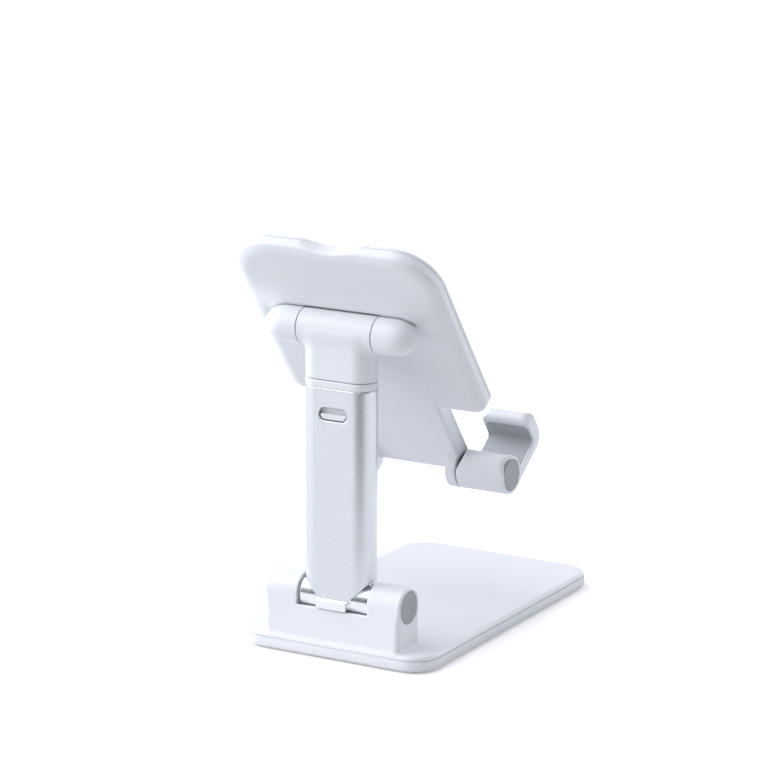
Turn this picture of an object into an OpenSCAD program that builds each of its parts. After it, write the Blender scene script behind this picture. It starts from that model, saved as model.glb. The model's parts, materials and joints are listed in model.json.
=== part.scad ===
// Folding phone stand: a weighted base, a hinged telescopic post, a tilting cradle and two hooks.
// Millimetres. X runs across the stand, -Y is the user's side and +Z is up. The origin is the
// middle of the stand's footprint, on the surface that it rests on.

/* [Base] */
// Width of the base
base_w = 63.4; // [62:0.1:70]
// Distance from the post's hinge forward to the front edge of the base
base_front = 99; // [94:0.5:104]
// Distance from the post's hinge back to the rear edge of the base
base_rear = 7.2; // [7:0.1:9]
// Radius of the base's corners, seen from above
base_corner_r = 8.7; // [8:0.1:14]
// Height of the base's top face
base_h = 5.1; // [5.1:0.1:5.6]
// Height of the seam between the tray and the cover
seam_z = 3.7; // [3.6:0.1:3.8]
// Thickness of the steel ballast plate
ballast_t = 1.6; // [1:0.1:1.8]

/* [Post hinge] */
// Height of the post's hinge axis
hinge_z = 17.5; // [17:0.1:19]
// Width over the two ears
ears_w = 44.6; // [43:0.1:48]
// Radius of the ears' round top
ear_r = 5.8; // [5.8:0.1:6]
// Width of the recess between the ears
recess_w = 23.3; // [23:0.1:24]
// Radius of the metal hinge barrel
barrel_r = 5; // [4.8:0.1:5]

/* [Post] */
// Width of the post tube
post_w = 22.2; // [21.4:0.1:22.4]
// Depth of the post tube, front to back
post_d = 10.1; // [10:0.1:10.2]
// Wall of the post tube
tube_wall = 1.3; // [1.1:0.1:1.4]
// Height of the tube's top end
tube_top = 79.8; // [79:0.1:80]
// Height of the collar above the tube
collar_h = 2.2; // [1.8:0.1:2.4]
// Width of the window that the collar's tab snaps into
window_w = 9.1; // [8:0.1:10]
// Height of the window
window_h = 3.8; // [3.4:0.1:4.2]
// How far the stem slides out
slide_travel = 30; // [20:1:30]

/* [T-head] */
// Height of the tilt axis
tee_z = 95.95; // [95.4:0.05:97]
// Radius of the cross barrel and of the knuckles
tee_r = 5.35; // [5.2:0.05:5.4]
// Distance from the middle to the seam between barrel and knuckle
tee_seam_x = 12.15; // [12:0.05:12.4]
// Distance from the middle to a knuckle's tip
knuckle_tip_x = 25.5; // [24.5:0.5:27]

/* [Cradle] */
// Angle of the cradle, leaning back from upright
lean = 36.3; // [30:0.1:40]
// Width of the cradle plate
plate_w = 65.2; // [62:0.1:70]
// Height of the plate's top edge above the hook axis, along the plate
plate_top = 89.2; // [85:0.1:92]
// Height of the lower edge of the wide part above the hook axis
plate_low = 25.3; // [23:0.1:27]
// Radius of the plate's upper corners
plate_r_top = 13; // [10:0.5:15]
// Radius of the plate's lower corners
plate_r_low = 5.5; // [4:0.5:7]
// Thickness of the cradle with its pad
plate_t = 5.8; // [5.7:0.1:5.9]
// Width of the tongue that carries the hooks
tongue_w = 33; // [32.6:0.1:33]
// Width of the finger notch
notch_w = 19; // [14:0.5:22]
// Depth of the finger notch
notch_depth = 2.6; // [1.5:0.1:3]

/* [Hooks] */
// Distance from the hook axis up to the tilt axis, along the plate
hook_drop = 63.8; // [62:0.1:65]
// Radius of the hook barrel
hook_r = 5.7; // [5.5:0.1:5.8]
// Distance from the middle to a hook's outer end
hook_end_x = 32.5; // [32:0.1:33.5]
// Reach of the hook in front of its axis
hook_reach = 19.2; // [18:0.1:21]
// Height of the lip above the hook axis
lip_top = 6.5; // [6:0.1:8]

/* [Hidden] */
$fn = 96;

white = [0.93, 0.94, 0.96];
soft_grey = [0.56, 0.56, 0.58];
silver = [0.78, 0.79, 0.81];
bright = [0.88, 0.88, 0.89];
steel = [0.55, 0.56, 0.58];
brass = [0.78, 0.64, 0.36];

eps = 0.01;             // overlap that keeps neighbouring cuts open
snug = 0.03;            // gap between pieces that are pressed or screwed together
running = 0.05;         // radial gap of a shaft in its hole

// Hinge and cradle frames
plate_back = 5.75;      // the tilt axis lies this far behind the plate's back face
bevel_w = 2.6;          // the bevel round the back of the plate
bevel_t = 1.3;
cradle_rear = (plate_top - hook_drop) * sin(lean) - (plate_back + bevel_t) * cos(lean);
hinge_y = (base_front - max(base_rear, cradle_rear)) / 2;

// Base
base_l = base_front + base_rear;
base_mid_y = hinge_y + (base_rear - base_front) / 2;
foot_gap = 0.5;         // the grip pad lifts the tray this far
grip_t = 1;
grip_inset = 2.2;
tray_wall = 1.6;
tray_floor = 1.6;       // top of the tray's floor
tray_chamfer = 0.6;
cover_inset = 0.35;
cover_gap = 0.1;        // open seam between tray and cover
cover_chamfer = 0.8;
rim_w = 1;              // the cover's locating rim inside the tray
rim_drop = 1.1;
ballast_inset = 3.2;
boss_r = 2.6;
base_screw_head_r = 2;
base_screw_head_h = 0.9;
base_screw_r = 0.8;
base_screw_top = base_h - 0.5;
rear_screw_x = 16.5;
front_screw_x = 22;
front_screw_y = base_front - 15;

// Post hinge
ear_out = ears_w / 2;
ear_in = recess_w / 2;
recess_r = barrel_r + 0.35;
rear_wall_drop = 2.75;  // top edge of the recess's rear wall, below the axis
ear_draft = 0.5;
axle_r = 2;
axle_seat = 18;         // where the axle's head and nut seat in the ears
axle_head_r = 3.5;
axle_head_h = 2.1;
axle_socket_r = 1.5;
nut_r = 3.6;
nut_gap = 0.15;
head_pocket_r = 4;
cap_r = 4.8;
cap_seat = ear_out - 1.6;
cap_sunk = 0.12;        // caps sit this far below the ears' faces
washer_t = 0.35;
washer_r = 4.2;

// Post
side_r = post_d / 2;                 // the tube's sides are half round
side_x = post_w / 2 - side_r;        // centre of each half round
tube_in_r = side_r - tube_wall;
tongue_half = 4.8;                   // half width of the tube's lowest edge
cut_h = 6.5;                         // height of the cut lower corners
foot_plug_top = hinge_z + 14;
lip_half = 4.95;
lip_y = 6.6;
lip_drop = 2.5;
foot_screw_x = 4;
foot_screw_z = hinge_z + 9.5;
small_screw_r = 1;
small_head_r = 1.9;
window_z = 72.3;
collar_top = tube_top + collar_h;

// Stem
stem_r = 2.7;
stem_wall = 1.1;
glide_low = foot_plug_top + 0.2;
glide_h = 6;
stem_low = glide_low + glide_h;
sleeve_low = stem_low + slide_travel + 0.3;
stem_top = 90;
neck_low = collar_top + 0.15;
neck_screw_z = 86;
glide_pin_z = stem_low + 4;
glide_pin_r = 0.8;

// T-head
tilt_axle_r = 1.75;
tilt_axle_half = 21.5;
bush_r = 3;
bush_l = 4;
tee_half = tee_seam_x - 0.15;
tee_washer_r = 4.7;
knuckle_in = tee_seam_x + 0.2;
knuckle_flat = 17.5;                 // where a knuckle starts to round off
pedestal_z = [-4.2, 1.1];            // the foot under a knuckle, from the tilt axis
pedestal_out = 19.5;
knuckle_screw_x = 16;
knuckle_screw_z = -1.6;
knuckle_screw_depth = 3;

// Cradle, in its own upright frame: X across, Y to the rear, Z up the plate, hook axis at zero
half_w = plate_w / 2;
tongue_half_w = tongue_w / 2;
shell_t = 4.2;
skin_t = 1.6;
front_t = 1.2;
layer_gap = 0.05;
front_face = shell_t + layer_gap + front_t;
rim = 1.8;
tongue_low = -1.7;
front_low = 6;          // the front plate's lower edge beside the stubs
front_mid_half = 13;    // half width of its part between the stubs
pad_sunk = 0.5;         // the pad's pocket in the front plate
pad_inset = 2.2;
pad_low = 2;
notch_r = (notch_w * notch_w / 4 + notch_depth * notch_depth) / (2 * notch_depth);
cradle_boss_r = 2.6;
cradle_head_r = 1.6;
cradle_screw_at = [[-26, 76], [26, 76], [-26, 32], [26, 32], [-10, 14], [10, 14]];

// Hooks
stub_in = 13.2;
stub_out = tongue_half_w;
hook_in = stub_out + 0.35;
pin_r = 1.75;
pin_end = 13.7;
pin_seat = 28.65;
pin_head_r = 3.2;
pin_head_h = 1.9;
hook_cap_r = 4.71;
hook_cap_seat = hook_end_x - 1.6;
arm_in = -2.9;          // the arm's inner face
lip_in = 15.6;          // the lip's inner face
bend_r = 5.5;
inner_r = 1.5;
hook_pad_t = 0.9;
hook_pad_border = 0.85;
hook_pad_from = 5.8;
hook_pad_top = 1.3;
bead_r = 1.5;

// ---- Shared shapes ----

// A rectangle with round corners, centred
module round_rect(w, l, r) {
    square([w, l - 2 * r], center = true);
    square([w - 2 * r, l], center = true);
    for (sx = [-1, 1], sy = [-1, 1])
        translate([sx * (w / 2 - r), sy * (l / 2 - r)]) circle(r);
}

// The base's outline, drawn in by an inset
module base_outline(inset) {
    translate([0, base_mid_y])
        round_rect(base_w - 2 * inset, base_l - 2 * inset, base_corner_r - inset);
}

// A bar with half-round sides, the section of the tube, the stem and the neck
module obround(r) {
    square([2 * side_x, 2 * r], center = true);
    for (s = [-1, 1]) translate([s * side_x, 0]) circle(r);
}

module post_bar(r, low, high) {
    translate([0, hinge_y, low]) linear_extrude(high - low) obround(r);
}

// A round bar along X between two places
module x_bar(r, from, to) {
    translate([from, 0, 0]) rotate([0, 90, 0]) cylinder(r = r, h = to - from);
}

module x_ring(r_out, r_in, from, to) {
    difference() {
        x_bar(r_out, from, to);
        x_bar(r_in, from - 1, to + 1);
    }
}

// A hexagonal bar along X
module x_hex(r, from, to) {
    translate([from, 0, 0]) rotate([0, 90, 0]) cylinder(r = r, h = to - from, $fn = 6);
}

module both_sides() {
    children();
    mirror([1, 0, 0]) children();
}

// A countersunk screw along +Y, its head's face at zero
module countersunk(head_r, r, length) {
    rotate([-90, 0, 0]) {
        cylinder(r1 = head_r, r2 = r, h = head_r - r);
        cylinder(r = r, h = length);
    }
}

module at_hinge() { translate([0, hinge_y, hinge_z]) children(); }
module at_tilt() { translate([0, hinge_y, tee_z]) children(); }

// The cradle's own frame at rest
module in_cradle() {
    at_tilt() rotate([-lean, 0, 0]) translate([0, -plate_back, -hook_drop]) children();
}

// A layer of the cradle between two depths behind the user's side of its back face
module layer(from, to) {
    rotate([90, 0, 0]) translate([0, 0, from]) linear_extrude(to - from) children();
}

// A shape drawn in the hook's side view, swept along X on the left
module side_sweep(from, to) {
    rotate([90, 0, -90]) translate([0, 0, from]) linear_extrude(to - from) children();
}

// ---- Base ----

module base_screw_places() {
    for (s = [-1, 1]) {
        translate([s * rear_screw_x, hinge_y, 0]) children();
        translate([s * front_screw_x, hinge_y - front_screw_y, 0]) children();
    }
}

module ear_profile() {
    circle(ear_r);
    polygon([
        [-ear_r, 0], [ear_r, 0],
        [ear_r + ear_draft, base_h - hinge_z - eps], [-ear_r - ear_draft, base_h - hinge_z - eps]
    ]);
}

// The upright across the base: ears with a recess between them
module ears() {
    at_hinge() difference() {
        rotate([90, 0, 90]) translate([0, 0, -ear_out]) linear_extrude(2 * ear_out) ear_profile();
        x_bar(recess_r, -ear_in, ear_in);
        translate([-ear_in, 0, -rear_wall_drop]) cube([2 * ear_in, 10, 20]);
        translate([-ear_in, -10, -recess_r]) cube([2 * ear_in, 10, 20]);
        x_bar(axle_r + snug, -ear_out, ear_out);
        x_bar(head_pocket_r, -cap_seat - eps, -axle_seat);
        x_hex(nut_r + nut_gap, axle_seat, cap_seat + eps);
        both_sides() x_bar(cap_r, cap_seat, ear_out + 1);
    }
}

module base_cover() {
    color(white) {
        ears();
        difference() {
            union() {
                translate([0, 0, seam_z + cover_gap])
                    linear_extrude(base_h - cover_chamfer - seam_z - cover_gap)
                        base_outline(cover_inset);
                hull() {
                    translate([0, 0, base_h - cover_chamfer - eps])
                        linear_extrude(eps) base_outline(cover_inset, $fn = 64);
                    translate([0, 0, base_h - eps])
                        linear_extrude(eps) base_outline(cover_inset + cover_chamfer, $fn = 64);
                }
                translate([0, 0, seam_z + cover_gap - rim_drop]) linear_extrude(rim_drop + eps)
                    difference() {
                        base_outline(tray_wall + 0.1);
                        base_outline(tray_wall + 0.1 + rim_w);
                    }
                base_screw_places() translate([0, 0, tray_floor + 1.1])
                    cylinder(r = boss_r, h = seam_z + 0.2 - tray_floor - 1.1);
            }
            base_screw_places() cylinder(r = base_screw_r + snug, h = base_screw_top + snug);
        }
    }
}

module base_tray() {
    color(white) difference() {
        union() {
            translate([0, 0, foot_gap + tray_chamfer])
                linear_extrude(seam_z - foot_gap - tray_chamfer) base_outline(0);
            hull() {
                translate([0, 0, foot_gap]) linear_extrude(eps)
                    base_outline(tray_chamfer, $fn = 64);
                translate([0, 0, foot_gap + tray_chamfer]) linear_extrude(eps)
                    base_outline(0, $fn = 64);
            }
        }
        difference() {
            translate([0, 0, tray_floor]) linear_extrude(10) base_outline(tray_wall);
            base_screw_places() cylinder(r = boss_r + 0.8, h = tray_floor + 1);
        }
        translate([0, 0, -eps]) linear_extrude(grip_t + eps) base_outline(grip_inset);
        base_screw_places() {
            cylinder(r = base_screw_r + 0.2, h = 10);
            cylinder(r = base_screw_head_r + 0.2, h = grip_t + base_screw_head_h + 0.1);
        }
    }
}

module ballast_plate() {
    color(steel) difference() {
        translate([0, 0, tray_floor]) linear_extrude(ballast_t) base_outline(ballast_inset);
        base_screw_places() cylinder(r = boss_r + 1, h = 10);
    }
}

module grip_pad() {
    color(soft_grey) linear_extrude(grip_t - snug) base_outline(grip_inset + snug);
}

module base_screws() {
    color(steel) base_screw_places() {
        translate([0, 0, grip_t + 0.05]) cylinder(r = base_screw_head_r, h = base_screw_head_h);
        translate([0, 0, grip_t + 0.05])
            cylinder(r = base_screw_r, h = base_screw_top - grip_t - 0.05);
    }
}

module post_axle() {
    color(steel) at_hinge() difference() {
        union() {
            x_bar(axle_r, -axle_seat, axle_seat + axle_head_h + 0.3);
            x_bar(axle_head_r, -axle_seat - axle_head_h, -axle_seat);
        }
        x_hex(axle_socket_r, -axle_seat - axle_head_h - 1, -axle_seat - axle_head_h + 1.2);
    }
}

module post_axle_nut() {
    color(steel) at_hinge() difference() {
        x_hex(nut_r, axle_seat, axle_seat + axle_head_h);
        x_bar(axle_r + snug, axle_seat - 1, axle_seat + axle_head_h + 1);
    }
}

module post_washers() {
    color(steel) at_hinge() both_sides()
        x_ring(washer_r, axle_r + snug, ear_in - washer_t, ear_in);
}

module end_cap(r, seat, end) {
    x_bar(r - snug, seat, end - cap_sunk);
}

module base_cap_right() {
    color(soft_grey) at_hinge() end_cap(cap_r, cap_seat, ear_out);
}

module base_cap_left() { mirror([1, 0, 0]) base_cap_right(); }

// ---- Post ----

// The tube's wall with its cut lower corners, grown by a gap on every side
module tube_wall_shape(gap) {
    difference() {
        post_bar(side_r + gap, hinge_z - gap, tube_top);
        post_bar(tube_in_r - gap, hinge_z - 1, tube_top + 1);
        both_sides() translate([0, hinge_y + 10, hinge_z - gap]) rotate([90, 0, 0])
            linear_extrude(20) polygon([
                [tongue_half + gap, -1], [tongue_half + gap, 0],
                [post_w / 2 + gap, cut_h], [post_w, cut_h], [post_w, -1]
            ]);
    }
}

// Places of the foot's screws, on the post's front face
module foot_screw_places() {
    for (s = [-1, 1]) translate([s * foot_screw_x, hinge_y - side_r, foot_screw_z]) children();
}

// A slot with round ends through the tube's rear wall
module window_shape(w, h) {
    translate([0, hinge_y + tube_in_r - 1, window_z]) rotate([-90, 0, 0]) {
        linear_extrude(4) {
            square([w - h, h], center = true);
            for (s = [-1, 1]) translate([s * (w - h) / 2, 0]) circle(h / 2);
        }
    }
}

module post_tube() {
    color(silver) difference() {
        tube_wall_shape(0);
        window_shape(window_w, window_h);
        foot_screw_places() countersunk(small_head_r + snug, small_screw_r + snug, 3);
    }
}

module post_foot() {
    color(bright) difference() {
        union() {
            at_hinge() x_bar(barrel_r, -ear_in + washer_t + running, ear_in - washer_t - running);
            post_bar(tube_in_r - snug, hinge_z, foot_plug_top);
            translate([-lip_half, hinge_y, hinge_z - lip_drop])
                cube([2 * lip_half, lip_y, lip_drop - snug]);
        }
        tube_wall_shape(snug);
        at_hinge() x_bar(axle_r + running, -ear_in, ear_in);
        foot_screw_places() countersunk(small_head_r, small_screw_r + snug, 6.3);
    }
}

module foot_screws() {
    color(steel) foot_screw_places() countersunk(small_head_r, small_screw_r, 6);
}

module guide_collar() {
    color(white) {
        difference() {
            union() {
                post_bar(side_r, tube_top, collar_top);
                post_bar(tube_in_r - snug, sleeve_low, tube_top + eps);
            }
            post_bar(stem_r + running, sleeve_low - 1, collar_top + 1);
        }
        difference() {
            window_shape(window_w - 0.6, window_h - 0.6);
            post_bar(tube_in_r - 0.5, sleeve_low, tube_top);
            translate([-window_w, hinge_y + side_r - 0.2, window_z - window_h])
                cube([2 * window_w, 5, 2 * window_h]);
            translate([-window_w, hinge_y + side_r - 1, window_z])
                cube([2 * window_w, 5, window_h]);
        }
    }
}

// ---- Stem and T-head ----

module stem_tube() {
    color(silver) difference() {
        post_bar(stem_r, stem_low, stem_top);
        post_bar(stem_r - stem_wall, stem_low - 1, stem_top + 1);
        neck_screw_places() countersunk(small_screw_r + snug, small_screw_r + snug, 5);
        glide_pin_shape(snug);
    }
}

module glide_pin_shape(gap) {
    translate([0, hinge_y - stem_r + 0.05 - gap, glide_pin_z]) rotate([-90, 0, 0])
        cylinder(r = glide_pin_r + gap, h = 2 * stem_r - 0.1 + 2 * gap);
}

module stem_glide() {
    color(white) difference() {
        union() {
            post_bar(tube_in_r - running, glide_low, stem_low);
            post_bar(stem_r - stem_wall - snug, glide_low, stem_low + 8);
        }
        glide_pin_shape(snug);
    }
}

module glide_pin() { color(steel) glide_pin_shape(0); }

// Places of the screws on the neck's front face
module neck_screw_places() {
    for (s = [-1, 1]) translate([s * foot_screw_x, hinge_y - side_r, neck_screw_z]) children();
}

module tee_head() {
    color(white) difference() {
        union() {
            post_bar(side_r, neck_low, tee_z);
            at_tilt() x_bar(tee_r, -tee_half, tee_half);
        }
        post_bar(stem_r + snug, neck_low - 1, stem_top + snug);
        neck_screw_places() countersunk(small_head_r + snug, small_screw_r + snug, 4);
        at_tilt() {
            x_bar(tilt_axle_r + 0.35, -tee_half - 1, tee_half + 1);
            both_sides() x_bar(bush_r + snug, tee_half - bush_l - snug, tee_half + 1);
        }
    }
}

module neck_screws() {
    color(steel) neck_screw_places() countersunk(small_head_r, small_screw_r, 3.6);
}

module tee_bushes() {
    color(brass) at_tilt() both_sides()
        x_ring(bush_r, tilt_axle_r + running, tee_half - bush_l, tee_half);
}

// ---- Cradle ----

// Outline of the cradle's wide part, drawn in by an inset
module wide_outline(inset) {
    straight_low = plate_low + plate_r_low;
    straight_top = plate_top - plate_r_top;
    translate([-half_w + inset, straight_low])
        square([plate_w - 2 * inset, straight_top - straight_low]);
    translate([-half_w + plate_r_top, straight_low])
        square([plate_w - 2 * plate_r_top, plate_top - inset - straight_low]);
    translate([-half_w + plate_r_low, plate_low + inset])
        square([plate_w - 2 * plate_r_low, straight_top - plate_low - inset]);
    for (s = [-1, 1]) {
        translate([s * (half_w - plate_r_top), straight_top]) circle(plate_r_top - inset);
        translate([s * (half_w - plate_r_low), straight_low]) circle(plate_r_low - inset);
    }
}

// Outline of the tongue from a lower edge up into the wide part, given its half width
module tongue_outline(low, half) {
    translate([-half, low]) square([2 * half, plate_low + 10 - low]);
}

module notch() {
    rotate([90, 0, 0]) translate([0, plate_top - notch_depth + notch_r, -1])
        cylinder(r = notch_r, h = 10);
}

// Places of the screws that hold the front plate, in the cradle's frame
module cradle_screw_places() {
    for (p = cradle_screw_at) translate([p[0], 0, p[1]]) children();
}

module knuckle_screw_places() {
    both_sides() translate([knuckle_screw_x, 0, hook_drop + knuckle_screw_z]) children();
}

module cradle_shell() {
    color(white) in_cradle() {
        difference() {
            union() {
                hull() {
                    layer(0, eps) wide_outline(bevel_w, $fn = 64);
                    layer(bevel_t, bevel_t + eps) wide_outline(0, $fn = 64);
                }
                layer(bevel_t, shell_t) wide_outline(0);
                layer(0, shell_t) tongue_outline(tongue_low, tongue_half_w);
            }
            difference() {
                layer(skin_t, shell_t + 1) {
                    intersection() {
                        wide_outline(rim);
                        translate([-half_w, 0]) square([plate_w, plate_top - notch_depth - rim]);
                    }
                    tongue_outline(front_low + rim, tongue_half_w - rim);
                }
                cradle_screw_places() rotate([90, 0, 0]) cylinder(r = cradle_boss_r, h = shell_t);
            }
            notch();
            cradle_screw_places() translate([0, -skin_t, 0]) rotate([90, 0, 0])
                cylinder(r = small_screw_r, h = 5);
            knuckle_screw_places() translate([0, 1, 0]) rotate([90, 0, 0])
                cylinder(r = small_screw_r + 0.1, h = 4);
            both_sides() x_bar(pin_r + snug, pin_end - 0.2, stub_out + 1);
        }
        both_sides() x_ring(hook_r, pin_r + snug, pin_end - 0.2, stub_out);
        both_sides() x_bar(hook_r, stub_in, pin_end - 0.2);
    }
}

// Outline of the soft pad on the cradle's front, drawn in by a gap
module pad_outline(gap) {
    intersection() {
        union() {
            wide_outline(pad_inset + gap);
            tongue_outline(front_low + pad_inset + gap, tongue_half_w - pad_inset - gap);
            tongue_outline(pad_low + gap, front_mid_half - pad_inset - gap);
        }
        translate([-half_w, 0]) square([plate_w, plate_top - notch_depth - pad_inset - gap]);
    }
}

module cradle_front() {
    color(white) in_cradle() difference() {
        layer(shell_t + layer_gap, front_face) {
            wide_outline(0);
            tongue_outline(front_low, tongue_half_w);
            tongue_outline(tongue_low, front_mid_half);
        }
        layer(front_face - pad_sunk, front_face + 1) pad_outline(0);
        notch();
        cradle_screw_places() translate([0, pad_sunk - front_face, 0])
            countersunk(cradle_head_r + snug, small_screw_r + snug, 3);
    }
}

module cradle_pad() {
    color(soft_grey) in_cradle() layer(front_face - pad_sunk, plate_t) pad_outline(snug);
}

module cradle_screws() {
    color(steel) in_cradle() cradle_screw_places() translate([0, pad_sunk - front_face, 0])
        countersunk(cradle_head_r, small_screw_r - snug, 2.8);
}

// Half of a knuckle's side view: a bar that ends in a quarter ellipse
module knuckle_profile() {
    round_l = knuckle_tip_x - knuckle_flat;
    polygon(concat(
        [[0, knuckle_in], [tee_r, knuckle_in]],
        [for (a = [0:5:90]) [tee_r * cos(a), knuckle_flat + round_l * sin(a)]]
    ));
}

module knuckle_right() {
    color(white) in_cradle() difference() {
        union() {
            translate([0, plate_back, hook_drop]) rotate([0, 90, 0])
                rotate_extrude() knuckle_profile();
            translate([knuckle_in, 0, hook_drop + pedestal_z[0]])
                cube([pedestal_out - knuckle_in, plate_back, pedestal_z[1] - pedestal_z[0]]);
        }
        translate([0, plate_back, hook_drop])
            x_bar(tilt_axle_r + snug, knuckle_in - 1, tilt_axle_half + 0.1);
        knuckle_screw_places() rotate([-90, 0, 0])
            cylinder(r = small_screw_r + snug, h = knuckle_screw_depth);
    }
}

module knuckle_left() { mirror([1, 0, 0]) knuckle_right(); }

module knuckle_screws() {
    color(steel) in_cradle() knuckle_screw_places() {
        translate([0, -skin_t - small_screw_r, 0]) rotate([-90, 0, 0])
            cylinder(r = small_head_r, h = small_screw_r - snug);
        translate([0, -skin_t - small_screw_r, 0]) rotate([-90, 0, 0])
            cylinder(r = small_screw_r, h = skin_t + small_screw_r + knuckle_screw_depth - 0.2);
    }
}

module tilt_axle() { color(steel) at_tilt() x_bar(tilt_axle_r, -tilt_axle_half, tilt_axle_half); }

module tilt_washers() {
    color(steel) at_tilt() both_sides()
        x_ring(tee_washer_r, tilt_axle_r + snug, tee_half + running, knuckle_in - snug);
}

// ---- Hooks, drawn on the left side and mirrored ----

module hook_pins() {
    color(steel) in_cradle() both_sides() difference() {
        union() {
            x_bar(pin_r, pin_end, pin_seat + running);
            x_bar(pin_head_r, pin_seat + running, pin_seat + pin_head_h);
        }
        x_hex(axle_socket_r, pin_seat + pin_head_h - 1.2, pin_seat + pin_head_h + 1);
    }
}

module hook_washers() {
    color(steel) in_cradle() both_sides()
        x_ring(tee_washer_r, pin_r + snug, stub_out + snug, hook_in - running);
}

// The space that the phone's edge takes in the hook, drawn out by the pad's thickness
module hook_channel(grow) {
    r = inner_r + grow;
    difference() {
        translate([-20, arm_in - grow]) square([20 + lip_in + grow, 30]);
        translate([lip_in + grow - r, arm_in - grow]) difference() {
            square([r + 1, r]);
            translate([0, r]) circle(r);
        }
    }
}

module hook_profile() {
    bend_x = hook_reach - bend_r;
    bead_x = lip_in + bead_r;
    circle(hook_r);
    difference() {
        union() {
            translate([0, -hook_r]) square([bend_x, hook_r]);
            translate([bend_x, bend_r - hook_r]) circle(bend_r);
            polygon([
                [bend_x, bend_r - hook_r], [hook_reach, bend_r - hook_r], [hook_reach, 1.2],
                [bead_x + bead_r - 0.02, lip_top - bead_r], [lip_in, lip_top - bead_r]
            ]);
            translate([bead_x, lip_top - bead_r]) circle(bead_r);
        }
        hook_channel(0);
    }
}

module hook_pad_profile(gap) {
    intersection() {
        difference() {
            hook_channel(hook_pad_t - gap);
            hook_channel(0);
        }
        translate([hook_pad_from + gap, -10])
            square([20, 10 + hook_pad_top - gap]);
    }
}

module hook_left() {
    color(white) in_cradle() difference() {
        side_sweep(hook_in, hook_end_x) hook_profile();
        side_sweep(hook_in + hook_pad_border, hook_end_x - hook_pad_border) hook_pad_profile(0);
        mirror([1, 0, 0]) {
            x_bar(pin_r + running, hook_in - 1, hook_end_x);
            x_bar(head_pocket_r, pin_seat, hook_end_x);
            x_bar(hook_cap_r, hook_cap_seat, hook_end_x + 1);
        }
    }
}

module hook_left_pad() {
    color(soft_grey) in_cradle()
        side_sweep(hook_in + hook_pad_border + snug, hook_end_x - hook_pad_border - snug)
            hook_pad_profile(snug);
}

module hook_left_cap() {
    color(soft_grey) mirror([1, 0, 0]) in_cradle() end_cap(hook_cap_r, hook_cap_seat, hook_end_x);
}

module hook_right() { mirror([1, 0, 0]) hook_left(); }
module hook_right_pad() { mirror([1, 0, 0]) hook_left_pad(); }
module hook_right_cap() { mirror([1, 0, 0]) hook_left_cap(); }

base_cover();
base_tray();
ballast_plate();
grip_pad();
base_screws();
post_axle();
post_axle_nut();
post_washers();
base_cap_left();
base_cap_right();
post_tube();
post_foot();
foot_screws();
guide_collar();
stem_tube();
stem_glide();
glide_pin();
tee_head();
neck_screws();
tee_bushes();
cradle_shell();
cradle_front();
cradle_pad();
cradle_screws();
knuckle_left();
knuckle_right();
knuckle_screws();
tilt_axle();
tilt_washers();
hook_pins();
hook_washers();
hook_left();
hook_left_pad();
hook_left_cap();
hook_right();
hook_right_pad();
hook_right_cap();
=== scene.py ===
"""Looks of the folding phone stand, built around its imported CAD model.

Most visible pieces are the zero surface of a distance field, so that moulded edges and fillets
are real geometry. Fields are in millimetres, in one of two frames: the stand's own, with the
post's hinge axis at y = 0, or the cradle's, with x across, y to the rear, z up the plate and
the hooks' axis at zero.
"""

import json
import math

import bmesh
import bpy
import numpy as np
from mathutils import Matrix, Vector


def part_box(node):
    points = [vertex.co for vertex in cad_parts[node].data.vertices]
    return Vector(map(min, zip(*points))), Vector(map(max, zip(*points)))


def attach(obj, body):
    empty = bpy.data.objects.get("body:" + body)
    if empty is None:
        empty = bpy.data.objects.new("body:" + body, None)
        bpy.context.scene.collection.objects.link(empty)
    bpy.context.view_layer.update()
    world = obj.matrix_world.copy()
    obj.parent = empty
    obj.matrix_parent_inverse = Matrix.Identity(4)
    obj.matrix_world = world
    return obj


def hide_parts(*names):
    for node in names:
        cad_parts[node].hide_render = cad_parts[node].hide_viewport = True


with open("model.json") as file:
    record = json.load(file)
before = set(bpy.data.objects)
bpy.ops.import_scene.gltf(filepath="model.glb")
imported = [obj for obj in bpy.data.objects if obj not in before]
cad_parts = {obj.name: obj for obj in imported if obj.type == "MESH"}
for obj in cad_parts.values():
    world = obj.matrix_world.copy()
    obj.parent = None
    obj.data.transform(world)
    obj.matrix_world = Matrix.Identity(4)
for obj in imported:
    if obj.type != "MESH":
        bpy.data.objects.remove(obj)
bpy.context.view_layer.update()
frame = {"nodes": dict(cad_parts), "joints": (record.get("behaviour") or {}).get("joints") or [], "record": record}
MM = 0.001

joints = {j["name"]: Vector(j["pos_m"]) for j in frame["joints"] if "pos_m" in j}
HINGE, TILT, HOOK = (joints[n] for n in ("post_hinge", "cradle_tilt", "hook_left_fold"))
mounts = {m["name"]: m for m in frame["record"]["mounts"]}
FACE = Vector(mounts["cradle_face"]["axis"])
LEAN = math.atan2(FACE.z, -FACE.y)
STAND = Matrix.Translation((0, HINGE.y, 0)) @ Matrix.Scale(MM, 4)
CRADLE = Matrix.Translation(HOOK) @ Matrix.Rotation(-LEAN, 4, "X") @ Matrix.Scale(MM, 4)

# ---- Dimensions in millimetres: places and fits as in the CAD, some roundings softer ----
HINGE_Z, TILT_Z = HINGE.z / MM, TILT.z / MM

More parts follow.
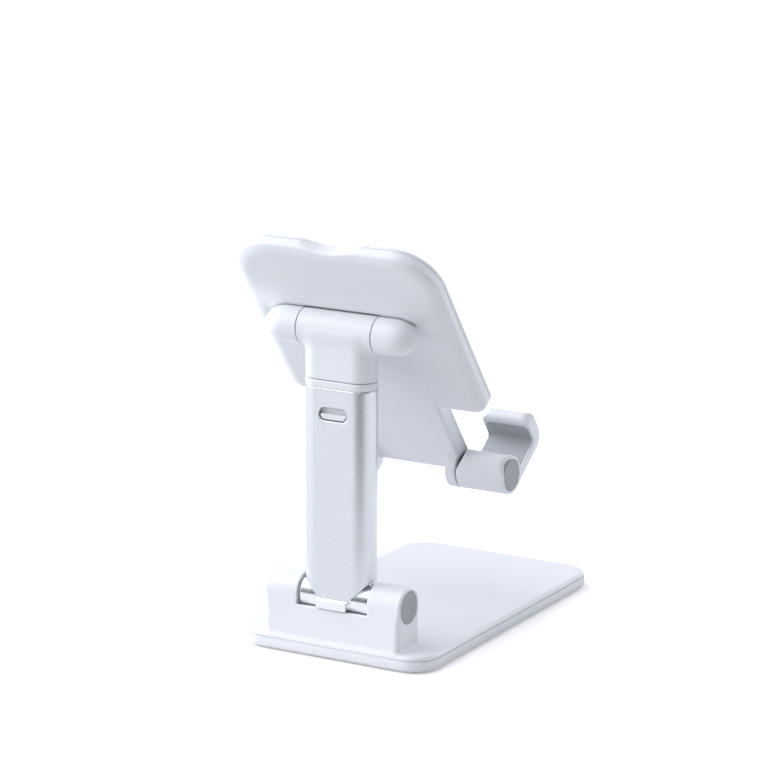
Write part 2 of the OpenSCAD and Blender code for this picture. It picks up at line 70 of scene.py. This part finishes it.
# Base. y is from the hinge axis.
TRAY_LO, TRAY_HI = (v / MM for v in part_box("base_tray"))
BASE_HALF_W, BASE_HALF_L = TRAY_HI.x, (TRAY_HI.y - TRAY_LO.y) / 2
BASE_MID = (TRAY_HI.y + TRAY_LO.y) / 2 - HINGE.y / MM
BASE_R = 8.7  # corners of the outline
BASE_H, SEAM_Z = 5.1, 3.7  # top of the cover, seam between cover and tray
COVER_INSET = 0.22
EAR_OUT, EAR_R = 22.3, 5.8
EAR_GROWTH = 0.5  # how much thicker the ears are at their foot, on each side
RECESS_R, RECESS_HALF = 5.35, 11.65  # room for the metal barrel
BASE_CAP_R, CAP_DEPTH = 4.8, 1.6

# Post. Its section has flat front and rear faces and half round sides.
SIDE_R = 5.05
SIDE_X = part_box("post_tube")[1].x / MM - SIDE_R
TUBE_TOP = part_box("post_tube")[1].z / MM
TUBE_WALL_HALF = 0.65
INSERT = 1.33  # from the tube's outside to what sits in it
FOOT_BARREL_R, FOOT_BARREL_HALF = 5, 11.25
LIP_HALF, LIP_REAR, LIP_DROP = 4.95, 6.6, 2.5
WINDOW_Z, WINDOW_HALF = 72.3, (4.55, 1.9)
COLLAR_H = 2.2
BORE_R = 2.75  # the collar's bore for the stem
SCREW_X, SCREW_HOLE_R, SCREW_HEAD_R = 4, 1.95, 1.88
FOOT_SCREW_Z, NECK_SCREW_Z = HINGE_Z + 9.5, 86

# Tilt joint. The barrel and the knuckles have one radius.
TEE_R, TEE_HALF = 5.35, 12.04
KNUCKLE_IN, NOSE_X, NOSE = 12.29, 17.5, 7  # inner end, where the nose begins, its length
DROP, BACK = 63.8, 5.75  # the tilt axis in the cradle's frame: z and y

# Cradle. b is the depth from its rear face towards the phone.
HALF_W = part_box("cradle_front")[1].x / MM
TOP, LOW = 89.2, 25.3  # the wide part
TOP_CORNER, LOW_CORNER = 13, 5.5
SHELL_B, FRONT_B, PAD_B = 4.2, (4.25, 5.45), (4.95, 5.8)
TONGUE_HALF, TONGUE_LOW = 16.5, -1.7
STUB_IN = 13.2
NOTCH_HALF, NOTCH_DEEP, NOTCH_SLOPE = 9.5, 1.9, 0.22
SADDLE, SADDLE_REACH = 2.4, 9

# Hooks. b and z are from the axis on which they fold.
HOOK_R, HOOK_IN, HOOK_OUT = 5.7, 16.85, 32.5
LIP_IN, LIP_OUT, LIP_TOP = 15.6, 19.9, 5.8
LEDGE_Z = -2.9
HOOK_PAD, HOOK_PAD_TOP, HOOK_PAD_INSET = 0.9, 3.2, 0.85
HOOK_CAP_R = 4.71


# ---- Distance fields ----

def meet(a, b, r=0.0):
    """Intersection of two fields, its edge rounded by r."""
    corner = np.hypot(np.maximum(a + r, 0), np.maximum(b + r, 0))
    return np.minimum(-r, np.maximum(a, b)) + corner


def join(a, b, r=0.0):
    """Union of two fields, with a fillet of radius r between them."""
    return -meet(-a, -b, r)


def cut(a, b, r=0.0):
    return meet(a, -b, r)


def span(w, low, high):
    return np.abs(w - (low + high) / 2) - (high - low) / 2


def rect(u, v, half_u, half_v, r):
    a, b = np.abs(u) - half_u + r, np.abs(v) - half_v + r
    return np.minimum(np.maximum(a, b), 0) + np.hypot(np.maximum(a, 0), np.maximum(b, 0)) - r


def obround(x, y):
    """Distance from the middle line of the post's section."""
    return np.hypot(np.maximum(np.abs(x) - SIDE_X, 0), y)


def screw_holes(x, y, z, at_z):
    """The holes for the screw heads in the post's front face, as a field to cut away."""
    return meet(np.hypot(np.abs(x) - SCREW_X, z - at_z) - SCREW_HOLE_R,
                span(y, -SIDE_R - 1, -SIDE_R + 0.95))


def base_cover(x, y, z):
    outline = rect(x, y - BASE_MID, BASE_HALF_W - COVER_INSET, BASE_HALF_L - COVER_INSET,
                   BASE_R - COVER_INSET)
    plate = meet(meet(outline, z - BASE_H, 1.15), SEAM_Z + 0.05 - z, 0.12)
    u = z - HINGE_Z
    slope = math.atan2(EAR_GROWTH, HINGE_Z - BASE_H)
    side = np.where(u > 0, np.hypot(y, u) - EAR_R,
                    (np.abs(y) - EAR_R) * math.cos(slope) + u * math.sin(slope))
    soft = 0.75 + 0.9 * np.clip(-u / 5, 0, 1)  # the ears' edges are rounder at their foot
    ears = meet(meet(side, np.abs(x) - EAR_OUT, soft), SEAM_Z + 0.5 - z)
    body = join(plate, ears, 1.0)
    rho = np.hypot(y, u)
    behind, ahead = meet(-y, -2.75 - u), meet(y, -RECESS_R - u)
    recess = np.minimum(rho - RECESS_R, np.minimum(behind, ahead))
    body = cut(body, meet(recess, np.abs(x) - RECESS_HALF), 0.3)
    return cut(body, meet(rho - BASE_CAP_R, EAR_OUT - CAP_DEPTH - np.abs(x)), 0.2)


def post_tube(x, y, z):
    wall = np.abs(obround(x, y) - SIDE_R + TUBE_WALL_HALF) - TUBE_WALL_HALF
    body = meet(wall, span(z, HINGE_Z, TUBE_TOP), 0.2)
    slant = (np.abs(x) - 4.8) * 0.718 - (z - HINGE_Z) * 0.696  # the cut lower corners
    body = meet(body, slant, 0.2)
    window = meet(rect(x, z - WINDOW_Z, *WINDOW_HALF, 1.85), 1 - y)
    return cut(cut(body, window, 0.2), screw_holes(x, y, z, FOOT_SCREW_Z), 0.1)


def post_foot(x, y, z):
    u = z - HINGE_Z
    barrel = meet(np.hypot(y, u) - FOOT_BARREL_R, np.abs(x) - FOOT_BARREL_HALF, 0.3)
    lip = meet(meet(np.abs(x) - LIP_HALF, span(y, 0, LIP_REAR), 0.35),
               span(u, -LIP_DROP, -0.05), 0.35)
    plug = meet(obround(x, y) - SIDE_R + INSERT, span(u, 0, 14))
    return join(join(barrel, lip, 0.4), plug)


def guide_collar(x, y, z):
    line = obround(x, y)
    ring = meet(meet(line - SIDE_R, z - TUBE_TOP - COLLAR_H, 0.45), TUBE_TOP + 0.03 - z, 0.12)
    sleeve = meet(line - SIDE_R + INSERT, span(z, 68, TUBE_TOP + 1))
    tab = meet(rect(x, z - WINDOW_Z, 4.25, 1.6, 1.6), z - WINDOW_Z, 0.2)
    tab = meet(tab, span(y, 3, SIDE_R - 0.2), 0.2)
    return cut(join(join(ring, sleeve), tab, 0.1), line - BORE_R)


def tee_head(x, y, z):
    neck = meet(obround(x, y) - SIDE_R, span(z, TUBE_TOP + 2.35, TILT_Z), 0.35)
    barrel = meet(np.hypot(y, z - TILT_Z) - TEE_R, np.abs(x) - TEE_HALF, 0.12)
    return cut(join(neck, barrel, 1.4), screw_holes(x, y, z, NECK_SCREW_Z), 0.1)


def wide(x, z, inset=0.0):
    """Outline of the cradle's wide part."""
    r = np.where(z > (TOP + LOW) / 2, TOP_CORNER, LOW_CORNER) - inset
    return rect(x, z - (TOP + LOW) / 2, HALF_W - inset, (TOP - LOW) / 2 - inset, r)


def notched(x, z, b=FRONT_B[1]):
    """Outline with the finger notch, which is deepest at the front."""
    r = (NOTCH_HALF ** 2 + NOTCH_DEEP ** 2) / (2 * NOTCH_DEEP)
    finger = np.hypot(x, z - (TOP - NOTCH_DEEP + r) - NOTCH_SLOPE * (FRONT_B[1] - b)) - r
    return cut(wide(x, z), finger, 0.6)


def strip(x, z, half, low):
    """Outline of a strip that runs down from inside the wide part."""
    return meet(np.abs(x) - half, span(z, low, LOW + 12))


def bullet(x, y, z):
    """The shape of the barrel and both knuckles along the tilt axis."""
    rho = np.hypot(y - BACK, z - DROP)
    nose = (np.hypot(rho / TEE_R, (np.abs(x) - NOSE_X) / NOSE) - 1) * TEE_R
    return np.where(np.abs(x) > NOSE_X, nose, rho - TEE_R)


def saddle(x, z):
    """Height of the soft rise in the plate's back, above the barrel and the knuckles."""
    along = np.maximum(np.abs(x) - NOSE_X, 0) / NOSE
    away = (np.hypot(along, (z - DROP) / TEE_R) - 1) * TEE_R
    rise = np.clip((z - DROP + 3) / 7, 0, 1)  # it is on the upper side only
    fade = np.clip(1 - np.maximum(away, 0) / SADDLE_REACH, 0, 1)
    return SADDLE * rise ** 2 * (3 - 2 * rise) * fade ** 2


def cradle_shell(x, y, z):
    b = -y
    bevel = (wide(x, z) + 2.6) * 0.447 - b * 0.894
    back = meet(bevel, y - saddle(x, z), 0.5)
    plate = meet(meet(notched(x, z, b), back, 0.7), b - SHELL_B, 0.25)
    room = 0.13 + 0.25 * np.clip((12.7 - np.abs(x)) / 0.5, 0, 1)  # more where the barrel turns
    plate = cut(plate, bullet(x, y, z) - room, 0.15)
    tongue = meet(meet(strip(x, z, TONGUE_HALF, TONGUE_LOW), -b, 1.2), b - SHELL_B, 0.25)
    stub = meet(np.hypot(b, z) - HOOK_R, span(np.abs(x), STUB_IN, TONGUE_HALF), 0.3)
    return join(join(plate, tongue, 0.3), stub, 0.5)


def cradle_front(x, y, z):
    b = -y
    outline = np.minimum(notched(x, z), strip(x, z, TONGUE_HALF, TONGUE_LOW))
    pocket = meet(pad_outline(x, z), PAD_B[0] - b)
    plate = cut(meet(outline, span(b, *FRONT_B), 0.35), pocket, 0.1)
    return cut(plate, meet(np.hypot(b, z) - HOOK_R - 0.08, STUB_IN - 0.1 - np.abs(x)), 0.1)


def pad_outline(x, z):
    tongue = np.minimum(strip(x, z, 14.3, 8.2), strip(x, z, 10.8, 2))
    return np.maximum(np.minimum(wide(x, z, 2.2), tongue), z - (TOP - 4.8))


def cradle_pad(x, y, z):
    return meet(pad_outline(x, z) + 0.05, span(-y, *PAD_B), 0.35)


def knuckle_right(x, y, z):
    body = meet(bullet(x, y, z), KNUCKLE_IN - x, 0.12)
    foot = meet(meet(span(x, KNUCKLE_IN + 0.06, 18.8), span(z, DROP - 4.2, DROP - 0.2), 0.5),
                span(y, -0.3, BACK))
    body = join(body, foot, 1.2)
    flare = join(body, y + 0.05, 1.8)  # a fillet onto the plate, kept to the lower side
    near = meet(meet(body - 2.2, z - DROP + 1.5, 0.5), KNUCKLE_IN - x, 0.12)
    return meet(np.minimum(body, np.maximum(flare, near)), -0.3 - y)


def hook_side(b, z):
    """Side view of a hook: its barrel, the arm under the phone and the lip."""
    outside = meet(b - LIP_OUT, -z - HOOK_R, 4.6)
    arm = meet(cut(outside, channel(b, z, 0)), z - LIP_TOP, 1.8)
    return join(np.hypot(b, z) - HOOK_R, np.maximum(arm, -b), 0.3)


def channel(b, z, grow):
    """Side view of the room for the phone. The pad lies between it and a slightly larger one."""
    return meet(b - LIP_IN - grow, LEDGE_Z - grow - z, 1.5 + grow)


def pad_side(b, z):
    lining = np.maximum(channel(b, z, HOOK_PAD), -channel(b, z, 0))
    return np.maximum(lining, np.maximum(5.8 - b, z - HOOK_PAD_TOP))


def pad_front(x, z, inset):
    """Front view of a hook's pad, with round upper corners."""
    return meet(span(x, HOOK_IN + inset, HOOK_OUT - inset), z - HOOK_PAD_TOP, 1.8)


def hook_right(x, y, z):
    width = span(x, HOOK_IN, HOOK_OUT)
    body = meet(hook_side(-y, z), width, 0.55)
    body = np.maximum(body, meet(width, z - LIP_TOP, 3.0))
    body = cut(body, np.maximum(pad_side(-y, z), pad_front(x, z, HOOK_PAD_INSET)), 0.12)
    return cut(body, meet(np.hypot(y, z) - HOOK_CAP_R, HOOK_OUT - CAP_DEPTH - x), 0.2)


def hook_right_pad(x, y, z):
    return meet(pad_side(-y, z) + 0.03, pad_front(x, z, HOOK_PAD_INSET + 0.03), 0.2)


def end_cap(axis_y, axis_z, r, out):
    """A round cap set into the end of a barrel, slightly dished."""
    def field(x, y, z):
        rho = np.hypot(y - axis_y, z - axis_z)
        dish = 0.12 * np.clip(1 - rho / (r - 0.5), 0, 1)
        return meet(rho - r + 0.03, span(x, out - CAP_DEPTH, out - 0.12) + dish, 0.25)
    return field


def screw_heads(at_z):
    """Two crosshead screws, flush in the post's front face."""
    def field(x, y, z):
        u, v = np.abs(x) - SCREW_X, z - at_z
        head = meet(np.hypot(u, v) - SCREW_HEAD_R, span(y, -SIDE_R + 0.04, -SIDE_R + 0.9), 0.12)
        bars = np.minimum(rect(u, v, 1.05, 0.24, 0.1), rect(u, v, 0.24, 1.05, 0.1))
        return cut(head, meet(bars, y + SIDE_R - 0.6), 0.06)
    return field


# ---- Meshes ----
PATCH = 10  # cells along a patch of flat surface that is merged into one face
ROOM = 2.5  # between a piece and the side of its grid


def gradient(field, p, step=0.02):
    """Slope of a field at each point."""
    return np.stack([(field(*(p + d).T) - field(*(p - d).T)) / (2 * step)
                     for d in step * np.eye(3)], 1)


def net(field, low, high, h, block=4):
    """Points and quads of the surface where the field is zero, on cells of side h.

    The last result numbers the quads by patch, so that neighbouring patches differ.
    """
    low = np.array(low, float)
    blocks = np.ceil((np.array(high) - low) / (h * block)).astype(int)
    count = blocks * block + 1
    stride = np.array([count[1] * count[2], count[2], 1])

    def place(key):
        return np.stack([key // stride[0], key // stride[1] % count[1], key % count[2]], 1)

    grid = np.indices(blocks).reshape(3, -1).T
    middle = low + (grid + 0.5) * h * block
    near = np.abs(field(*middle.T)) < 1.6 * h * block
    grid = grid[near] * block
    corners = np.indices((block + 1,) * 3).reshape(3, -1).T
    keys = np.unique((grid[:, None] + corners) @ stride)
    value = field(*(low + h * place(keys)).T)
    inner = np.indices((block,) * 3).reshape(3, -1).T
    cells = np.unique((grid[:, None] + inner) @ stride)
    cube = np.indices((2, 2, 2)).reshape(3, -1).T
    at = value[np.searchsorted(keys, cells[:, None] + cube @ stride)]
    mixed = (at < 0).any(1) & ~(at < 0).all(1)
    cells, at = cells[mixed], at[mixed]
    total, hits = np.zeros((len(cells), 3)), np.zeros(len(cells))
    for i in range(8):
        for j in range(i + 1, 8):
            if np.abs(cube[i] - cube[j]).sum() != 1:
                continue
            a, b = at[:, i], at[:, j]
            crossed = (a < 0) != (b < 0)
            t = np.where(crossed, a / np.where(crossed, a - b, 1), 0)[:, None]
            total += crossed[:, None] * (cube[i] + t * (cube[j] - cube[i]))
            hits += crossed
    points = low + h * (place(cells) + total / hits[:, None])
    quads, patches = [], []
    for a in range(3):
        b, c = stride[(a + 1) % 3], stride[(a + 2) % 3]
        ahead = np.minimum(np.searchsorted(keys, keys + stride[a]), len(keys) - 1)
        edge = (keys[ahead] == keys + stride[a]) & ((value < 0) != (value[ahead] < 0))
        ring = np.searchsorted(cells, keys[edge][:, None] - np.array([0, b, b + c, c]))
        if ring.max(initial=0) >= len(cells):
            raise ValueError("the surface leaves its grid")
        quads.append(np.where((value[edge] < 0)[:, None], ring, ring[:, ::-1]))
        patches.append((place(keys[edge]) // PATCH % 3) @ np.array([1, 3, 9]))
    for _ in range(3):  # the points move onto the exact surface
        g = gradient(field, points)
        step = field(*points.T)[:, None] * g / np.maximum((g * g).sum(1), 0.3)[:, None]
        points -= np.clip(step, -0.5 * h, 0.5 * h)
    return points, np.concatenate(quads), np.concatenate(patches)


def merge_flats(mesh, patches):
    """Joins coplanar quads within each patch."""
    mesh.polygons.foreach_set("material_index", patches.astype(np.int32))
    bm = bmesh.new()
    bm.from_mesh(mesh)
    bmesh.ops.dissolve_limit(bm, angle_limit=math.radians(0.25), verts=bm.verts, edges=bm.edges,
                             delimit={"MATERIAL"})
    for face in bm.faces:
        face.material_index = 0
    bm.to_mesh(mesh)
    bm.free()


def to_object(name, points, faces, matrix, normal_of=None, patches=None):
    """A smooth mesh object. normal_of gives each point's exact normal in the field's frame."""
    mesh = bpy.data.meshes.new(name)
    mesh.from_pydata(points, [], faces)
    if patches is not None:
        merge_flats(mesh, patches)
    mesh.shade_smooth()
    co = np.empty(len(mesh.vertices) * 3)
    mesh.vertices.foreach_get("co", co)
    normals = normal_of(co.reshape(-1, 3)) if normal_of else None
    mesh.transform(matrix)
    if normal_of:
        turned = normals @ np.array(matrix.to_3x3().normalized()).T
        turned /= np.linalg.norm(turned, axis=1)[:, None]
        mesh.normals_split_custom_set_from_vertices(turned.tolist())
    obj = bpy.data.objects.new(name, mesh)
    bpy.context.scene.collection.objects.link(obj)
    return obj


def dress(obj, body, slot, *nodes):
    """Material, body and replaced CAD nodes of a finished piece."""
    obj.data.materials.append(MATERIALS[slot])
    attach(obj, body)
    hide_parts(*nodes)
    return obj


def local_box(node, matrix):
    """A CAD node's box in a field's own frame, with some room around it."""
    back = matrix.inverted()
    co = np.array([back @ v.co for v in frame["nodes"][node].data.vertices])
    return co.min(0) - ROOM, co.max(0) + ROOM


def shell(name, field, h, matrix, body, slot, *nodes):
    """A piece that is the surface of a field, in place of one or more CAD nodes."""
    nodes = nodes or (name,)
    boxes = [local_box(n, matrix) for n in nodes]
    low, high = np.min([b[0] for b in boxes], 0), np.max([b[1] for b in boxes], 0)
    points, quads, patches = net(field, low, high, h)
    obj = to_object(name + "_skin", points.tolist(), quads.tolist(), matrix,
                    lambda p: gradient(field, p), patches)
    return dress(obj, body, slot, *nodes)


def mirrored(field):
    """The left side's piece, from the right side's."""
    return lambda x, y, z: field(-x, y, z)


def slab(name, profile, body, slot):
    """A plate with the base's outline: profile is a list of inset and height."""
    steps = np.radians(np.arange(0, 90.1, 7.5))
    points, faces = [], []
    for inset, z in profile:
        r = BASE_R - inset
        cx, cy = BASE_HALF_W - BASE_R, BASE_HALF_L - BASE_R
        for quarter, (sx, sy) in enumerate(((1, 1), (-1, 1), (-1, -1), (1, -1))):
            a = steps + quarter * math.pi / 2
            points += [(sx * cx + r * math.cos(t), BASE_MID + sy * cy + r * math.sin(t), z)
                       for t in a]
    n = 4 * len(steps)
    for k in range(len(profile) - 1):
        faces += [(k * n + i, k * n + (i + 1) % n, (k + 1) * n + (i + 1) % n, (k + 1) * n + i)
                  for i in range(n)]
    faces += [tuple(range(n))[::-1], tuple(range((len(profile) - 1) * n, len(profile) * n))]
    obj = to_object(name + "_skin", points, faces, STAND)
    obj.data.set_sharp_from_angle(angle=math.radians(40))
    return dress(obj, body, slot, name)


# ---- Materials ----
BUMP_DEPTH = 0.05 * MM
MIX_FACTOR, MIX_FLOATS, MIX_COLORS = 0, (2, 3), (6, 7)  # sockets of the Mix node


def mix(nodes, links, factor, a, b):
    """A colour Mix node. The factor is a socket, and a and b are colours or sockets."""
    node = nodes.new("ShaderNodeMix")
    node.data_type = "RGBA"
    links.new(factor, node.inputs[MIX_FACTOR])
    for socket, value in zip(MIX_COLORS, (a, b)):
        if isinstance(value, (list, tuple)):
            node.inputs[socket].default_value = [*value, 1]
        else:
            links.new(value, node.inputs[socket])
    return node.outputs[2]


def material(name, color, metallic=0.0, rough=0.4, grain=0.0, grain_size=0.2, mottle=0.02,
             rough_vary=0.05, speckle=0.0):
    """A moulded or metal surface: fine grain in the bump, soft changes of tone and gloss."""
    mat = bpy.data.materials.new(name)
    mat.use_nodes = True
    nodes, links = mat.node_tree.nodes, mat.node_tree.links
    bsdf = nodes["Principled BSDF"]
    bsdf.inputs["Metallic"].default_value = metallic
    where = nodes.new("ShaderNodeTexCoord").outputs["Object"]

    def noise(size_mm, detail):
        node = nodes.new("ShaderNodeTexNoise")
        node.inputs["Scale"].default_value = 1 / (size_mm * MM)
        node.inputs["Detail"].default_value = detail
        links.new(where, node.inputs["Vector"])
        return node.outputs["Fac"]

    def ranged(value, low, high):
        node = nodes.new("ShaderNodeMapRange")
        node.inputs["To Min"].default_value = low
        node.inputs["To Max"].default_value = high
        links.new(value, node.inputs["Value"])
        return node.outputs["Result"]

    spots = nodes.new("ShaderNodeMix")
    spots.inputs[MIX_FACTOR].default_value = speckle
    for socket, pattern in zip(MIX_FLOATS, (noise(9, 2), noise(2 * grain_size, 1))):
        links.new(pattern, spots.inputs[socket])
    dark = [c * (1 - mottle) for c in color]
    light = [min(1, c * (1 + mottle)) for c in color]
    links.new(mix(nodes, links, spots.outputs[0], dark, light), bsdf.inputs["Base Color"])
    gloss = ranged(noise(3, 3), rough - rough_vary, rough + rough_vary)
    links.new(gloss, bsdf.inputs["Roughness"])
    bump = nodes.new("ShaderNodeBump")
    bump.inputs["Strength"].default_value = grain
    bump.inputs["Distance"].default_value = BUMP_DEPTH
    links.new(noise(grain_size, 2), bump.inputs["Height"])
    links.new(bump.outputs["Normal"], bsdf.inputs["Normal"])
    return mat


MATERIALS = {
    "white_plastic": material("white_plastic", (0.73, 0.74, 0.76), rough=0.38, grain=0.12,
                              grain_size=0.25, mottle=0.006, rough_vary=0.03),
    "grey_cap": material("grey_cap", (0.33, 0.33, 0.35), rough=0.55, grain=0.5,
                         grain_size=0.3, mottle=0.03),
    "silicone": material("silicone", (0.40, 0.41, 0.43), rough=0.6, grain=0.35,
                         grain_size=0.22, mottle=0.02),
    "grip_rubber": material("grip_rubber", (0.12, 0.12, 0.125), rough=0.75, grain=0.5,
                            grain_size=0.4, mottle=0.05),
    "aluminium": material("aluminium", (0.71, 0.72, 0.74), metallic=1.0, rough=0.3, grain=0.7,
                          grain_size=0.3, mottle=0.12, rough_vary=0.05, speckle=0.7),
    "chrome": material("chrome", (0.86, 0.87, 0.88), metallic=1.0, rough=0.2, grain=0.1,
                       grain_size=0.6, mottle=0.01, rough_vary=0.04),
    "steel": material("steel", (0.42, 0.43, 0.45), metallic=1.0, rough=0.34, grain=0.25,
                      grain_size=0.3, mottle=0.03),
    "brass": material("brass", (0.62, 0.47, 0.22), metallic=1.0, rough=0.3, grain=0.2,
                      grain_size=0.3, mottle=0.03),
}

SLOTS = {s["node"]: s["material_slot"] for s in frame["record"]["subparts"]}
for name, node in frame["nodes"].items():
    for entry in node.material_slots:
        entry.material = MATERIALS[SLOTS[name]]

# ---- Pieces ----
base_cap = end_cap(0, HINGE_Z, BASE_CAP_R, EAR_OUT)
shell("base_cover", base_cover, 0.34, STAND, "base", "white_plastic")
slab("base_tray", [(1.15, 0.5), (0.72, 0.58), (0.34, 0.82), (0.09, 1.2), (0, 1.6), (0, 3.5),
                   (0.05, 3.64), (0.16, 3.7)], "base", "white_plastic")
slab("grip_pad", [(2.35, 0), (2.23, 0.12), (2.23, 0.97)], "base", "grip_rubber")
shell("base_cap_right", base_cap, 0.25, STAND, "base", "grey_cap")
shell("base_cap_left", mirrored(base_cap), 0.25, STAND, "base", "grey_cap")

shell("post_tube", post_tube, 0.3, STAND, "post", "aluminium")
shell("post_foot", post_foot, 0.25, STAND, "post", "chrome")
shell("guide_collar", guide_collar, 0.25, STAND, "post", "white_plastic")
shell("foot_screws", screw_heads(FOOT_SCREW_Z), 0.11, STAND, "post", "steel")

shell("tee_head", tee_head, 0.25, STAND, "stem", "white_plastic")
shell("neck_screws", screw_heads(NECK_SCREW_Z), 0.11, STAND, "stem", "steel")

shell("cradle_shell", cradle_shell, 0.34, CRADLE, "cradle", "white_plastic")
shell("cradle_front", cradle_front, 0.34, CRADLE, "cradle", "white_plastic")
shell("cradle_pad", cradle_pad, 0.34, CRADLE, "cradle", "silicone")
shell("knuckle_right", knuckle_right, 0.25, CRADLE, "cradle", "white_plastic")
shell("knuckle_left", mirrored(knuckle_right), 0.25, CRADLE, "cradle", "white_plastic")

hook_cap = end_cap(0, 0, HOOK_CAP_R, HOOK_OUT)
for name, sided in (("hook_right", lambda field: field), ("hook_left", mirrored)):
    shell(name, sided(hook_right), 0.25, CRADLE, name, "white_plastic")
    shell(name + "_pad", sided(hook_right_pad), 0.22, CRADLE, name, "silicone")
    shell(name + "_cap", sided(hook_cap), 0.22, CRADLE, name, "grey_cap")

# ---- Camera. Azimuth 0 is in front of the stand, and 90 at its right ----
AZIMUTH, ELEVATION, ROLL = (math.radians(a) for a in (209.759, 13.989, 0.169))
AIM_RIGHT, AIM_UP, DISTANCE = 0.011064, 0.079045, 1.079516  # metres from the hinge axis' foot
LENS = 177.37


def toward(azimuth, elevation):
    """Direction from the stand to what is seen at these angles."""
    flat = math.cos(elevation)
    return Vector((math.sin(azimuth) * flat, -math.cos(azimuth) * flat, math.sin(elevation)))


scene = bpy.context.scene
back = toward(AZIMUTH, ELEVATION)
right = Vector((math.cos(AZIMUTH), math.sin(AZIMUTH), 0))
up = back.cross(right)
turn = Matrix.Rotation(ROLL, 3, back)
right, up = turn @ right, turn @ up
aim = Vector((0, HINGE.y, 0)) + right * AIM_RIGHT + up * AIM_UP
camera = bpy.data.objects.new("camera", bpy.data.cameras.new("camera"))
camera.data.lens = LENS
camera.data.sensor_width = 36
camera.data.clip_start = 0.01
camera.matrix_world = Matrix.Translation(aim + back * DISTANCE) @ Matrix(
    (right, up, back)).transposed().to_4x4()
scene.collection.objects.link(camera)
scene.camera = camera

# ---- Floor: plain pale paper, with painted shade behind the stand: a dark patch that only it reflects and bounces, never seen by the camera ----
FLOOR_HALF, FLOOR_Z = 6.0, -0.00005
PAPER = (0.8, 0.8, 0.8)
PAPER_GLOW = 0.34  # as the camera sees it; it lights nothing
# Painted shade on the floor: a dark patch round this point that fades out between the two radii, then the paper's
# tone around it, for all rays but the camera's
SHADE_PATCH_AT, SHADE_PATCH_INNER, SHADE_PATCH_OUTER = (-0.2, 0.4, 0), 0.15, 0.30
SHADE_PATCH_TONE, AROUND_TONE = 0.1, 0.82


def smooth_range(nodes, links, value, low, high, to_low, to_high):
    """Maps a value from low to high onto to_low to to_high, easing in and out."""
    node = nodes.new("ShaderNodeMapRange")
    node.interpolation_type = "SMOOTHSTEP"
    for name, number in (("From Min", low), ("From Max", high), ("To Min", to_low),
                         ("To Max", to_high)):
        node.inputs[name].default_value = number
    links.new(value, node.inputs["Value"])
    return node.outputs["Result"]


def against(nodes, links, operation, vector, constant):
    """Distance or dot product of a vector socket and a constant vector."""
    node = nodes.new("ShaderNodeVectorMath")
    node.operation = operation
    node.inputs[1].default_value = constant
    links.new(vector, node.inputs[0])
    return node.outputs["Value"]


paper = bpy.data.materials.new("paper")
paper.use_nodes = True
nodes, links = paper.node_tree.nodes, paper.node_tree.links
bsdf = nodes["Principled BSDF"]
bsdf.inputs["Roughness"].default_value = 0.9
bsdf.inputs["Emission Color"].default_value = (1, 1, 1, 1)
seen = nodes.new("ShaderNodeLightPath").outputs["Is Camera Ray"]
emission = nodes.new("ShaderNodeMath")
emission.operation = "MULTIPLY"
emission.inputs[1].default_value = PAPER_GLOW
links.new(seen, emission.inputs[0])
links.new(emission.outputs["Value"], bsdf.inputs["Emission Strength"])
here = nodes.new("ShaderNodeNewGeometry").outputs["Position"]
# painted shade: near the patch the floor is dark for reflected and bounced rays, and plain paper for the camera
painted_shade = smooth_range(nodes, links, against(nodes, links, "DISTANCE", here, SHADE_PATCH_AT),
                    SHADE_PATCH_INNER, SHADE_PATCH_OUTER, SHADE_PATCH_TONE, AROUND_TONE)
links.new(mix(nodes, links, seen, painted_shade, PAPER), bsdf.inputs["Base Color"])

mesh = bpy.data.meshes.new("floor")
mesh.from_pydata([(sx * FLOOR_HALF, sy * FLOOR_HALF, FLOOR_Z)
                  for sx, sy in ((-1, -1), (1, -1), (1, 1), (-1, 1))], [], [(0, 1, 2, 3)])
mesh.materials.append(paper)
floor = bpy.data.objects.new("floor", mesh)
scene.collection.objects.link(floor)

# ---- Light: far softboxes, each with its azimuth, elevation, strength, and the angles from
# its middle at which it begins to fade and ends ----
SOFTBOXES = (
    (108, 12, 4.2, 8, 42),
    (103, 45, 2.0, 8, 42),
    (335, 12, 1.9, 8, 55),
    (36, 12, 0.6, 8, 42),
    (290, 14, 0.5, 8, 42),
    (180, 58, 2.1, 8, 40),
)
LIGHT_COLOR = (0.975, 1.0, 1.07, 1)

world = bpy.data.worlds.new("studio")
scene.world = world
world.use_nodes = True
nodes, links = world.node_tree.nodes, world.node_tree.links
nodes["Background"].inputs["Color"].default_value = LIGHT_COLOR
direction = nodes.new("ShaderNodeTexCoord").outputs["Generated"]
total = None
for azimuth, elevation, strength, inner, outer in SOFTBOXES:
    middle = toward(math.radians(azimuth), math.radians(elevation))
    glow = smooth_range(nodes, links, against(nodes, links, "DOT_PRODUCT", direction, middle),
                        math.cos(math.radians(outer)), math.cos(math.radians(inner)), 0, strength)
    if total is not None:
        both = nodes.new("ShaderNodeMath")
        links.new(total, both.inputs[0])
        links.new(glow, both.inputs[1])
        glow = both.outputs["Value"]
    total = glow
links.new(total, nodes["Background"].inputs["Strength"])
scene.view_settings.view_transform = "Standard"
